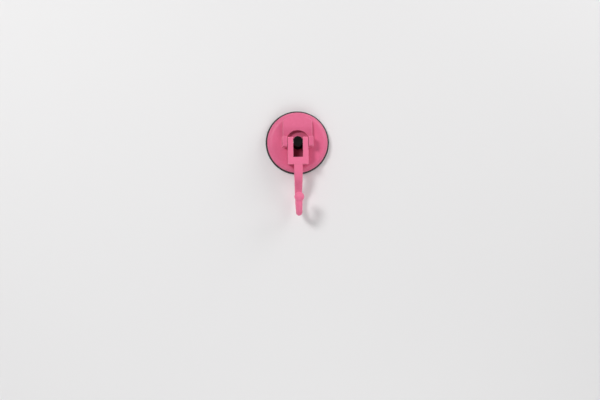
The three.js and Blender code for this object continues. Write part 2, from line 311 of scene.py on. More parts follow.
@dataclass(frozen=True)
class Mould:
    """Casts a field into a closed surface of even quads that lies exactly on the shape."""

    low: Array
    high: Array
    cell: float
    margin: int = 2
    settle_rounds: int = 5
    settle_steps: int = 3
    probe: float = 0.02

    def axes(self) -> list[Array]:
        """Lays out the grid lines, with the plane X = 0 on one of them.

        Returns:
            The lines' places along X, Y and Z.
        """
        lines = []
        for low, high in zip(self.low, self.high):
            first = math.floor(low / self.cell) - self.margin
            last = math.ceil(high / self.cell) + self.margin
            lines.append(np.arange(first, last + 1) * self.cell)
        return lines

    def cast(self, shape: Field) -> Surface:
        """Draws the surface where the field is zero.

        Args:
            shape: the field, of X, Y and Z.

        Returns:
            The surface, settled on the field, with the field's own normals.
        """
        x, y, z = self.axes()
        values = shape(x[:, None, None], y[None, :, None], z[None, None, :])
        inside = values < 0
        corners = np.array([(i, j, k) for i in (0, 1) for j in (0, 1) for k in (0, 1)])
        sizes = np.array(values.shape) - 1
        count = np.zeros(sizes, int)
        for i, j, k in corners:
            count += inside[i : i + sizes[0], j : j + sizes[1], k : k + sizes[2]]
        cells = np.argwhere((count > 0) & (count < len(corners)))
        number = np.full(sizes, -1)
        number[tuple(cells.T)] = np.arange(len(cells))
        places = self.crossings(values, cells, corners)
        first = np.array([x[0], y[0], z[0]])
        quads = np.vstack([self.walls(inside, number, axis) for axis in range(3)])
        surface = Surface(first + (cells + places) * self.cell, [quads])
        self.settle(surface, shape)
        surface.normals = self.slope(surface.points, shape)
        return surface

    @staticmethod
    def crossings(values: Array, cells: Array, corners: Array) -> Array:
        """Averages the places where the surface crosses the edges of each cell.

        Args:
            values: the field at the grid's points.
            cells: the cells that the surface passes through.
            corners: the eight corners of a cell.

        Returns:
            The places in the cells, as shares of a cell.
        """
        held = np.stack([values[tuple((cells + corner).T)] for corner in corners], axis=1)
        total = np.zeros((len(cells), 3))
        hits = np.zeros(len(cells))
        for a, corner_a in enumerate(corners):
            for b, corner_b in enumerate(corners):
                if a < b and np.abs(corner_a - corner_b).sum() == 1:
                    met = np.flatnonzero((held[:, a] < 0) != (held[:, b] < 0))
                    share = held[met, a] / (held[met, a] - held[met, b])
                    total[met] += corner_a + share[:, None] * (corner_b - corner_a)
                    hits[met] += 1
        return total / hits[:, None]

    @staticmethod
    def walls(inside: Array, number: Array, axis: int) -> Array:
        """Makes the quads that cross the grid's edges along one axis.

        Args:
            inside: whether each of the grid's points is inside the shape.
            number: the number of the surface's point in each cell.
            axis: the axis, 0 to 2.

        Returns:
            The quads, facing outwards.
        """
        kept = [slice(1, -1)] * 3
        kept[axis] = slice(0, -1)
        beyond = list(kept)
        beyond[axis] = slice(1, None)
        here, there = inside[tuple(kept)], inside[tuple(beyond)]
        offset = np.array([0 if i == axis else 1 for i in range(3)])
        places = np.argwhere(here != there) + offset
        leaving = here[here != there]
        u = np.eye(3, dtype=int)[(axis + 1) % 3]
        v = np.eye(3, dtype=int)[(axis + 2) % 3]
        ring = [places - u - v, places - v, places, places - u]
        quads = np.column_stack([number[tuple(place.T)] for place in ring])
        quads[~leaving] = quads[~leaving][:, ::-1]
        return quads

    def slope(self, points: Array, shape: Field) -> Array:
        """Measures the direction in which the field grows.

        Args:
            points: where to measure it.
            shape: the field.

        Returns:
            Unit vectors.
        """
        grown = []
        for axis in range(3):
            step = np.zeros(3)
            step[axis] = self.probe
            grown.append(shape(*(points + step).T) - shape(*(points - step).T))
        slope = np.column_stack(grown)
        return slope / np.maximum(np.linalg.norm(slope, axis=1), FLAT_GUARD)[:, None]

    def settle(self, surface: Surface, shape: Field) -> None:
        """Evens out the points along the surface and puts them exactly on it.

        Args:
            surface: the surface, whose points are moved.
            shape: the field that it follows.
        """
        links = surface.neighbours()
        for turn in range(self.settle_rounds + 1):
            if turn:
                middle = surface.spread(surface.points, links)
                surface.points = (surface.points + middle) / 2
            for _ in range(self.settle_steps):
                off = np.clip(shape(*surface.points.T), -self.cell, self.cell)
                surface.points = surface.points - off[:, None] * self.slope(surface.points, shape)


def lathe(profile: Sequence[Pair], facets: int, about: str) -> Surface:
    """Turns a closed profile about an axis.

    Args:
        profile: [radius, place along the axis] points, from the axis round to the axis again.
        facets: how many stretches the circle has.
        about: "X" to turn about X, or "Y" to turn about Y with the place as a level off the wall.

    Returns:
        The turned surface.
    """
    inner = np.array(profile[1:-1])
    angles = np.linspace(0, 2 * math.pi, facets, endpoint=False)
    ring = np.column_stack([np.cos(angles), np.sin(angles)])
    radial = inner[:, None, :1] * ring[None]
    place = np.repeat(inner[:, 1], facets)
    u, v = radial[..., 0].ravel(), radial[..., 1].ravel()
    first, last = profile[0][1], profile[-1][1]
    if about == "X":
        points = np.column_stack([place, u, v])
        ends = np.array([(first, 0, 0), (last, 0, 0)])
    else:
        points = np.column_stack([u, -place, v])
        ends = np.array([(0, -first, 0), (0, -last, 0)])
    grid = np.arange(len(inner) * facets).reshape(len(inner), facets)
    turned = np.roll(grid, -1, axis=1)
    quads = np.stack([grid[:-1], turned[:-1], turned[1:], grid[1:]], axis=-1).reshape(-1, 4)
    start = np.full(facets, len(points))
    stop = start + 1
    caps = np.vstack(
        [
            np.column_stack([start, turned[0], grid[0]]),
            np.column_stack([stop, grid[-1], turned[-1]]),
        ]
    )
    surface = Surface(np.vstack([points, ends]), [quads, caps])
    corners = surface.points[quads]
    middle = corners.mean(axis=1)
    turn = np.cross(corners[:, 1] - corners[:, 0], corners[:, 2] - corners[:, 0])
    if np.sum(turn * middle) < 0:
        surface.faces = [block[:, ::-1] for block in surface.faces]
    return surface


@dataclass
class Piece:
    """One piece of the hook, on its way from a surface to an object that rides on a body."""

    node: Node
    body: Body
    slot: Slot
    surface: Surface
    mark_rounds: int = 3

    def make(self, material: bpy.types.Material) -> bpy.types.Object:
        """Makes the object, marks its edges and corners, dresses it and lets it stand for its node.

        Args:
            material: the finish to put on it.

        Returns:
            The new object, which rides on nothing yet.
        """
        name = f"{self.node.value}_surface"
        mesh = bpy.data.meshes.new(name)
        faces = [tuple(corners) for block in self.surface.faces for corners in block.tolist()]
        mesh.from_pydata((self.surface.points * MM).tolist(), [], faces)
        mesh.polygons.foreach_set("use_smooth", np.ones(len(faces), bool))
        mesh.update()
        normals = self.surface.normals
        if normals is None:
            normals = np.zeros(len(mesh.vertices) * 3)
            mesh.vertex_normals.foreach_get("vector", normals)
            normals = normals.reshape(-1, 3)
        else:
            mesh.normals_split_custom_set_from_vertices(normals.tolist())
        marks = self.surface.marks(normals, self.mark_rounds)
        for mark, values in zip((EDGE_MARK, CAVITY_MARK), marks):
            attribute = mesh.attributes.new(mark, "FLOAT", "POINT")
            attribute.data.foreach_set("value", values.astype(np.float32))
        mesh.materials.append(material)
        made = bpy.data.objects.new(name, mesh)
        bpy.context.scene.collection.objects.link(made)
        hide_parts(self.node.value)
        LOG.info("%s: %d points, %d faces", name, len(mesh.vertices), len(faces))
        return made

    def ride(self, material: bpy.types.Material) -> bpy.types.Object:
        """Makes the object and lets it ride on the piece's body.

        Args:
            material: the finish to put on it.

        Returns:
            The new object.
        """
        made = self.make(material)
        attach(made, self.body.value)
        return made


# Shader nodes


class NodeBoard:
    """Places the nodes of one tree and links them."""

    def __init__(self, tree: bpy.types.NodeTree) -> None:
        """Takes over a tree and clears it."""
        self.tree = tree
        tree.nodes.clear()

    def add(
        self, kind: str, inputs: dict[str | int, Value] | None = None, **settings: object
    ) -> bpy.types.Node:
        """Places a node.

        Args:
            kind: the node's type name.
            inputs: what each input takes, a value or another node's output.
            settings: the node's own options.

        Returns:
            The node.
        """
        node = self.tree.nodes.new(kind)
        for name, option in settings.items():
            setattr(node, name, option)
        for key, value in (inputs or {}).items():
            self.feed(node.inputs[key], value)
        return node

    def feed(self, socket: Socket, value: Value) -> None:
        """Links an output to a socket, or sets the socket's own value.

        Args:
            socket: the socket that takes it.
            value: the output or the value.
        """
        if isinstance(value, Socket):
            self.tree.links.new(value, socket)
        elif isinstance(value, tuple) and socket.type == "RGBA":
            socket.default_value = (*value, 1.0)
        else:
            socket.default_value = value

    def math(self, operation: str, first: Value, second: Value = 0.0, clamp: bool = False) -> Socket:
        """Works out one sum.

        Args:
            operation: the name of the sum.
            first: its first value.
            second: its second value.
            clamp: whether the result stays between 0 and 1.

        Returns:
            The result.
        """
        node = self.add("ShaderNodeMath", {0: first, 1: second}, operation=operation, use_clamp=clamp)
        return node.outputs[0]

    def plus(self, first: Value, second: Value, clamp: bool = False) -> Socket:
        """Adds two values, and keeps the sum between 0 and 1 if asked."""
        return self.math("ADD", first, second, clamp)

    def times(self, first: Value, second: Value, clamp: bool = False) -> Socket:
        """Multiplies two values, and keeps the product between 0 and 1 if asked."""
        return self.math("MULTIPLY", first, second, clamp)

    def step(self, value: Value, low: float, high: float) -> Socket:
        """Runs smoothly from 0 to 1 while a value goes from low to high."""
        inputs = {"Value": value, "From Min": low, "From Max": high, "To Min": 0.0, "To Max": 1.0}
        return self.add("ShaderNodeMapRange", inputs, interpolation_type="SMOOTHSTEP").outputs["Result"]

    def between(self, value: Value, low: Value, high: Value) -> Socket:
        """Spreads a value that runs from 0 to 1 evenly between two others."""
        inputs = {"Value": value, "From Min": 0.0, "From Max": 1.0, "To Min": low, "To Max": high}
        return self.add("ShaderNodeMapRange", inputs).outputs["Result"]

    def tint(self, share: Value, first: Value, second: Value) -> Socket:
        """Mixes two colours.

        Args:
            share: how much of the second colour shows.
            first: the first colour.
            second: the second colour.

        Returns:
            The mixed colour.
        """
        node = self.add("ShaderNodeMix", data_type="RGBA")
        self.feed(node.inputs[0], share)
        self.feed(node.inputs[MIX_FIRST], first)
        self.feed(node.inputs[MIX_SECOND], second)
        return node.outputs[MIX_RESULT]

    def noise(self, place: Value, scale: Value, detail: float = 2.0) -> Socket:
        """Gives soft random values over a place, about scale of them for each metre."""
        inputs = {"Vector": place, "Scale": scale, "Detail": detail}
        return self.add("ShaderNodeTexNoise", inputs).outputs["Fac"]

    def parts(self, vector: Socket) -> bpy.types.bpy_prop_collection:
        """Takes a vector apart into its X, Y and Z."""
        return self.add("ShaderNodeSeparateXYZ", {0: vector}).outputs

    def place(self) -> Socket:
        """Gives the place on the object, in metres."""
        return self.add("ShaderNodeTexCoord").outputs["Object"]

    def bump(self, height: Value, depth: float, under: Socket | None = None) -> Socket:
        """Raises a surface by a height.

        Args:
            height: the height, from 0 to 1.
            depth: how much 1 stands for, in millimetres.
            under: the normal that it comes on top of, if not the surface's own.

        Returns:
            The new normal.
        """
        inputs = {"Height": height, "Strength": 1.0, "Distance": depth * MM}
        if under is not None:
            inputs["Normal"] = under
        return self.add("ShaderNodeBump", inputs).outputs[0]

    def mark(self, name: str) -> Socket:
        """Reads a mark that the mesh carries."""
        return self.add("ShaderNodeAttribute", attribute_name=name).outputs["Fac"]


class Effect:
    """A shader node group with named inputs and outputs."""

    def __init__(self, name: str, inputs: dict[str, float | None], outputs: Sequence[str]) -> None:
        """Makes the group and its sockets.

        Args:
            name: the group's name.
            inputs: each input's usual number, or None for a place.
            outputs: the names of what it gives.
        """
        self.tree = bpy.data.node_groups.new(name, "ShaderNodeTree")
        self.board = NodeBoard(self.tree)
        for label, default in inputs.items():
            kind = "NodeSocketVector" if default is None else "NodeSocketFloat"
            socket = self.tree.interface.new_socket(name=label, in_out="INPUT", socket_type=kind)
            if default is not None:
                socket.default_value = default
        for label in outputs:
            self.tree.interface.new_socket(name=label, in_out="OUTPUT", socket_type="NodeSocketFloat")
        self.inputs = self.board.add("NodeGroupInput").outputs
        self.outputs = self.board.add("NodeGroupOutput").inputs

    def give(self, label: str, value: Socket) -> None:
        """Puts a value out under a name."""
        self.board.feed(self.outputs[label], value)

    def use(self, board: NodeBoard, inputs: dict[str, Value]) -> bpy.types.bpy_prop_collection:
        """Places the group in a material.

        Args:
            board: the material's nodes.
            inputs: what each input takes there.

        Returns:
            The group's outputs.
        """
        node = board.add("ShaderNodeGroup", node_tree=self.tree)
        for label, value in inputs.items():
            board.feed(node.inputs[label], value)
        return node.outputs


class Effects:
    """The surface effects that the finishes share, each built once.

    A pair of numbers is the stretch over which a value runs from nothing to all, or the values between which
    it is spread.
    """

    MOTTLE_FINENESS = 3.0
    MOTTLE: Pair = (0.3, 0.7)
    RUBBED_PATCHES: Pair = (0.2, 1.6)
    RUBBED_REACH: Pair = (0.25, 1.0)
    FACING_UP: Pair = (0.1, 0.9)
    CORNER_SPECKS: Pair = (0.4, 1.4)
    FILM_SPECKS: Pair = (0.3, 0.8)
    # The turn of each set of scratches, and how far its lines are drawn out
    SCRATCH_SETS: Sequence[Pair] = ((0.5, 0.05), (-0.8, 0.04))
    SCRATCH_TILT: Pair = (0.3, 0.2)
    SCRATCH_LINES: Pair = (0.68, 0.74)
    SCRATCH_PATCHES: Pair = (0.5, 0.7)
    SCRATCH_PATCH_FINENESS = 0.08
    RING_WAVER_SCALE = 60.0
    RING_HEIGHTS: Pair = (0.5, 1.0)
    # Painted shade: the waver and the level band of the dark oval painted on the cap's flat behind the
    # lever's window
    SHADE_WAVER_SCALE = 150.0
    SHADE_OFF_LEVEL: Pair = (0.6, 0.3)

    def __init__(self) -> None:
        """Builds the groups."""
        self.moulded = self.build_moulded()
        self.rubbed = self.build_rubbed()
        self.dust = self.build_dust()
        self.scuffs = self.build_scuffs()
        self.rings = self.build_rings()
        self.painted_shade = self.build_painted_shade()

    def build_moulded(self) -> Effect:
        """Draws fine grain, long waves and a faint mottle, as the mould leaves them on a surface.

        Returns:
            The effect, which gives a height and a mottle.
        """
        inputs = {"Place": None, "Grain Scale": 3200.0, "Wave Scale": 130.0, "Grain Share": 0.75}
        effect = Effect("moulded_surface", inputs, ["Height", "Mottle"])
        board, given = effect.board, effect.inputs
        grain = board.noise(given["Place"], given["Grain Scale"], detail=3.0)
        wave = board.noise(given["Place"], given["Wave Scale"], detail=1.0)
        kept = board.math("SUBTRACT", 1.0, given["Grain Share"])
        effect.give("Height", board.plus(board.times(grain, given["Grain Share"]), board.times(wave, kept)))
        mottle_scale = board.times(given["Wave Scale"], self.MOTTLE_FINENESS)
        mottle = board.noise(given["Place"], mottle_scale, detail=5.0)
        effect.give("Mottle", board.step(mottle, *self.MOTTLE))
        return effect

    def build_rubbed(self) -> Effect:
        """Draws uneven rubbing along outer edges.

        Returns:
            The effect, which gives a mask.
        """
        inputs = {"Place": None, "Edge": 0.0, "Amount": 0.5, "Patch Scale": 420.0}
        effect = Effect("rubbed_edges", inputs, ["Mask"])
        board, given = effect.board, effect.inputs
        patches = board.noise(given["Place"], given["Patch Scale"], detail=6.0)
        reach = board.times(given["Edge"], board.between(patches, *self.RUBBED_PATCHES))
        mask = board.times(board.step(reach, *self.RUBBED_REACH), given["Amount"], clamp=True)
        effect.give("Mask", mask)
        return effect

    def build_dust(self) -> Effect:
        """Draws dust in inner corners, and a thinner film on what faces up.

        Returns:
            The effect, which gives a mask.
        """
        inputs = {"Place": None, "Cavity": 0.0, "Amount": 0.5, "Film": 0.2, "Speck Scale": 900.0}
        effect = Effect("settled_dust", inputs, ["Mask"])
        board, given = effect.board, effect.inputs
        normal = board.add("ShaderNodeNewGeometry").outputs["Normal"]
        upwards = board.step(board.parts(normal)["Z"], *self.FACING_UP)
        specks = board.noise(given["Place"], given["Speck Scale"], detail=5.0)
        corner = board.times(given["Cavity"], board.between(specks, *self.CORNER_SPECKS))
        film = board.times(board.times(upwards, given["Film"]), board.step(specks, *self.FILM_SPECKS))
        effect.give("Mask", board.times(board.plus(corner, film), given["Amount"], clamp=True))
        return effect

    def build_scuffs(self) -> Effect:
        """Draws thin short scratches from handling, in two directions.

        Returns:
            The effect, which gives a mask.
        """
        inputs = {"Place": None, "Amount": 0.5, "Line Scale": 1500.0}
        effect = Effect("handling_scuffs", inputs, ["Mask"])
        board, given = effect.board, effect.inputs
        total: Value = 0.0
        for angle, stretch in self.SCRATCH_SETS:
            turn = (self.SCRATCH_TILT[0], angle, self.SCRATCH_TILT[1])
            drawn_out = {"Vector": given["Place"], "Rotation": turn, "Scale": (stretch, 1.0, 1.0)}
            turned = board.add("ShaderNodeMapping", drawn_out).outputs[0]
            lines = board.step(board.noise(turned, given["Line Scale"], detail=1.0), *self.SCRATCH_LINES)
            patch_scale = board.times(given["Line Scale"], self.SCRATCH_PATCH_FINENESS)
            patch = board.step(board.noise(given["Place"], patch_scale), *self.SCRATCH_PATCHES)
            total = board.plus(total, board.times(lines, patch))
        effect.give("Mask", board.times(total, given["Amount"], clamp=True))
        return effect

    def build_rings(self) -> Effect:
        """Draws fine rings about an axis, as a turned mould leaves them.

        Returns:
            The effect, which gives a height.
        """
        inputs = {"Place": None, "Rings": 1800.0, "Drift": 0.3}
        effect = Effect("turned_rings", inputs, ["Height"])
        board, given = effect.board, effect.inputs
        parts = board.parts(given["Place"])
        across, upright = board.times(parts["X"], parts["X"]), board.times(parts["Z"], parts["Z"])
        radius = board.math("SQRT", board.plus(across, upright))
        waver = board.times(board.noise(given["Place"], self.RING_WAVER_SCALE), given["Drift"])
        turns = board.plus(board.times(radius, given["Rings"]), waver)
        wave = board.math("SINE", board.times(turns, 2 * math.pi))
        effect.give("Height", board.between(wave, *self.RING_HEIGHTS))
        return effect

    def build_painted_shade(self) -> Effect:
        """Paints shade as a dark oval on the cap's flat round the stem's slot, where the recess behind the
        lever's window lies in shade.

        Returns:
            The effect, which gives a mask. Its places and sizes are in millimetres.
        """
        inputs = {
            "Place": None,
            "Middle": -8.0,
            "Half Width": 9.8,
            "Half Height": 12.0,
            "Level": 10.1,
            "Fade": 0.22,
            "Unevenness": 0.12,
        }
        effect = Effect("window_painted_shade", inputs, ["Mask"])
        board, given = effect.board, effect.inputs
        parts = board.parts(given["Place"])
        right, towards, up = (board.math("DIVIDE", parts[axis], MM) for axis in "XYZ")
        wide = board.math("DIVIDE", right, given["Half Width"])
        tall = board.math("DIVIDE", board.math("SUBTRACT", up, given["Middle"]), given["Half Height"])
        reach = board.math("SQRT", board.plus(board.times(wide, wide), board.times(tall, tall)))
        waver = board.times(board.noise(given["Place"], self.SHADE_WAVER_SCALE), given["Unevenness"])
        inside = board.plus(board.math("SUBTRACT", 1.0, reach), waver)
        spread = board.step(board.math("DIVIDE", inside, given["Fade"]), 0.0, 1.0)
        off = board.math("ABSOLUTE", board.plus(towards, given["Level"]))
        effect.give("Mask", board.times(spread, board.step(off, *self.SHADE_OFF_LEVEL)))
        return effect


def new_material(name: str) -> tuple[bpy.types.Material, NodeBoard, bpy.types.Node]:
    """Starts a material.

    Args:
        name: the material's name.

    Returns:
        The material, its nodes and its shader.
    """
    material = bpy.data.materials.new(name)
    material.use_nodes = True
    board = NodeBoard(material.node_tree)
    shader = board.add("ShaderNodeBsdfPrincipled")
    output = board.add("ShaderNodeOutputMaterial")
    board.feed(output.inputs["Surface"], shader.outputs[0])
    return material, board, shader


# Finishes


@dataclass(frozen=True)
class PlasticFinish:
    """Moulded plastic with a satin skin, rubbed edges, handling scuffs, a little dust and, where a colour is
    given for it, a painted shade.
    """

    name: str
    colour: Colour
    deep_colour: Colour
    rubbed_colour: Colour
    dust_colour: Colour
    roughness: Pair = (0.44, 0.56)
    scuff_roughness: float = 0.14
    dust_roughness: float = 0.4
    grain_depth: float = 0.012
    wave_scale: float = 130.0
    rubbed: float = 0.35
    dust: float = 0.22
    film: float = 0.12
    scuffs: float = 0.5
    gloss: float = 0.4
    parting_half_width: float = 0.0
    parting_share: float = 0.5
    parting_crest: float = 0.2
    painted_shade_colour: Colour | None = None

    def material(self, effects: Effects) -> bpy.types.Material:
        """Builds the material.

        Args:
            effects: the shared effects.

        Returns:
            The material.
        """
        material, board, shader = new_material(self.name)
        place = board.place()
        moulded = effects.moulded.use(board, {"Place": place, "Wave Scale": self.wave_scale})
        edge = board.mark(EDGE_MARK)
        rubbed = effects.rubbed.use(board, {"Place": place, "Edge": edge, "Amount": self.rubbed})["Mask"]
        dusty = {"Place": place, "Cavity": board.mark(CAVITY_MARK), "Amount": self.dust, "Film": self.film}
        dust = effects.dust.use(board, dusty)["Mask"]
        scuffs = effects.scuffs.use(board, {"Place": place, "Amount": self.scuffs})["Mask"]
        skin = board.tint(moulded["Mottle"], self.colour, self.deep_colour)
        skin = board.tint(rubbed, skin, self.rubbed_colour)
        skin = board.tint(dust, skin, self.dust_colour)
        # Painted shade: a dark oval on the cap's flat round the stem's slot, where the lever's window looks
        # into shade
        if self.painted_shade_colour:
            painted_shade = effects.painted_shade.use(board, {"Place": place})["Mask"]
            skin = board.tint(painted_shade, skin, self.painted_shade_colour)
        board.feed(shader.inputs["Base Color"], skin)
        rough = board.between(moulded["Mottle"], *self.roughness)
        rough = board.plus(rough, board.times(scuffs, self.scuff_roughness))
        rough = board.plus(rough, board.times(dust, self.dust_roughness), clamp=True)
        board.feed(shader.inputs["Roughness"], rough)
        shader.inputs["Specular IOR Level"].default_value = self.gloss
        height = moulded["Height"]
        if self.parting_half_width:
            height = board.plus(height, self.parting_line(board, place))
        board.feed(shader.inputs["Normal"], board.bump(height, self.grain_depth))
        return material

    def parting_line(self, board: NodeBoard, place: Socket) -> Socket:
        """Raises a hair line where the two halves of the mould met, on the middle plane.

        Args:
            board: the material's nodes.
            place: the place on the object.

        Returns:
            The line's height.
        """
        off = board.math("ABSOLUTE", board.parts(place)["X"])
        share = board.math("DIVIDE", off, self.parting_half_width * MM)
        return board.times(board.step(share, 1.0, self.parting_crest), self.parting_share)


@dataclass(frozen=True)
class RubberFinish:
    """Soft black rubber from a turned mould, dulled by dust."""

    name: str
    colour: Colour
    worn_colour: Colour
    dust_colour: Colour
    roughness: Pair = (0.42, 0.6)
    dust_roughness: float = 0.5
    ring_depth: float = 0.012
    grain_depth: float = 0.03
    grain_share: float = 0.5
    wave_scale: float = 200.0
    dust: float = 0.12
    film: float = 0.2
    scuffs: float = 0.35
    scuff_share: float = 0.3

    def material(self, effects: Effects) -> bpy.types.Material:
        """Builds the material.

        Args:
            effects: the shared effects.

        Returns:
            The material.
        """
        material, board, shader = new_material(self.name)
        place = board.place()
        grained = {"Place": place, "Wave Scale": self.wave_scale, "Grain Share": self.grain_share}
        moulded = effects.moulded.use(board, grained)
        rings = effects.rings.use(board, {"Place": place})["Height"]
        dusty = {"Place": place, "Cavity": board.mark(CAVITY_MARK), "Amount": self.dust, "Film": self.film}
        dust = effects.dust.use(board, dusty)["Mask"]
        scuffs = effects.scuffs.use(board, {"Place": place, "Amount": self.scuffs})["Mask"]
        skin = board.tint(moulded["Mottle"], self.colour, self.worn_colour)
        skin = board.tint(board.times(scuffs, self.scuff_share), skin, self.dust_colour)
        board.feed(shader.inputs["Base Color"], board.tint(dust, skin, self.dust_colour))
        rough = board.between(moulded["Mottle"], *self.roughness)
        rough = board.plus(rough, board.times(dust, self.dust_roughness), clamp=True)
        board.feed(shader.inputs["Roughness"], rough)
        turned = board.bump(rings, self.ring_depth)
        board.feed(shader.inputs["Normal"], board.bump(moulded["Height"], self.grain_depth, turned))
        return material


@dataclass(frozen=True)
class SteelFinish:
    """Drawn steel with turning marks and a thin greasy film."""

    name: str
    colour: Colour
    stained_colour: Colour
    roughness: Pair = (0.22, 0.4)
    line_depth: float = 0.004
    line_scale: float = 2600.0
    wave_scale: float = 500.0
    rubbed: float = 0.6

    def material(self, effects: Effects) -> bpy.types.Material:
        """Builds the material.

        Args:
            effects: the shared effects.

        Returns:
            The material.
        """
        material, board, shader = new_material(self.name)
        place = board.place()
        moulded = effects.moulded.use(board, {"Place": place, "Wave Scale": self.wave_scale})
        scuffs = effects.scuffs.use(board, {"Place": place, "Line Scale": self.line_scale})["Mask"]
        edge = board.mark(EDGE_MARK)
        rubbed = effects.rubbed.use(board, {"Place": place, "Edge": edge, "Amount": self.rubbed})["Mask"]
        skin = board.tint(moulded["Mottle"], self.colour, self.stained_colour)
        board.feed(shader.inputs["Base Color"], board.tint(rubbed, skin, self.colour))
        rough = board.plus(board.between(moulded["Mottle"], *self.roughness), scuffs, clamp=True)
        board.feed(shader.inputs["Roughness"], rough)
        shader.inputs["Metallic"].default_value = 1.0
        board.feed(shader.inputs["Normal"], board.bump(moulded["Height"], self.line_depth))
        return material


@dataclass(frozen=True)
class WallFinish:
    """Pale matt paint, which is clear from behind so that the back of the hook can be seen."""

    name: str
    colour: Colour
    shade_colour: Colour
    roughness: float = 0.7
    cloud_scale: float = 3.0

    def material(self) -> bpy.types.Material:
        """Builds the wall's material.

        Returns:
            The material.
        """
        material, board, shader = new_material(self.name)
        place = board.place()
        cloud = board.noise(place, self.cloud_scale)
        board.feed(shader.inputs["Base Color"], board.tint(cloud, self.colour, self.shade_colour))
        shader.inputs["Roughness"].default_value = self.roughness
        behind = board.add("ShaderNodeNewGeometry").outputs["Backfacing"]
        clear = board.add("ShaderNodeBsdfTransparent").outputs[0]
        mixed = board.add("ShaderNodeMixShader", {0: behind, 1: shader.outputs[0], 2: clear})
        output = next(node for node in board.tree.nodes if node.type == "OUTPUT_MATERIAL")
        board.feed(output.inputs["Surface"], mixed.outputs[0])
        return material


# The cap's pink is set darker than the lever's: partly a separate moulding, partly painted shade for the
# lesser light on the cap's flat and ramp
PINK = PlasticFinish(
    name="pink_plastic_cap",
    colour=(0.70, 0.129, 0.255),
    deep_colour=(0.68, 0.12, 0.24),
    rubbed_colour=(0.86, 0.30, 0.43),
    dust_colour=(0.62, 0.40, 0.44),
    # Colour of the painted shade on the cap's flat behind the lever's window
    painted_shade_colour=(0.3, 0.042, 0.088),
)
PINK_LEVER = PlasticFinish(
    name="pink_plastic_lever",
    colour=(0.79, 0.16, 0.298),
    deep_colour=(0.77, 0.15, 0.283),
    rubbed_colour=(0.86, 0.30, 0.43),
    dust_colour=(0.62, 0.40, 0.44),
    rubbed=0.45,
    scuffs=0.7,
    parting_half_width=0.16,
)
CORE = PlasticFinish(
    name="black_plastic_stem",
    colour=(0.004, 0.004, 0.0035),
    deep_colour=(0.003, 0.003, 0.003),
    rubbed_colour=(0.05, 0.05, 0.05),
    dust_colour=(0.16, 0.15, 0.15),
    roughness=(0.36, 0.5),
    dust=0.05,
    gloss=0.15,
)
RUBBER = RubberFinish(
    name="black_rubber_cup",
    colour=(0.014, 0.014, 0.015),
    worn_colour=(0.022, 0.021, 0.022),
    dust_colour=(0.18, 0.17, 0.17),
)
STEEL = SteelFinish(name="steel_pin", colour=(0.58, 0.58, 0.59), stained_colour=(0.42, 0.41, 0.40))
PAINT = WallFinish(name="wall_paint", colour=(0.775, 0.77, 0.77), shade_colour=(0.755, 0.75, 0.755))


# Pieces of the hook


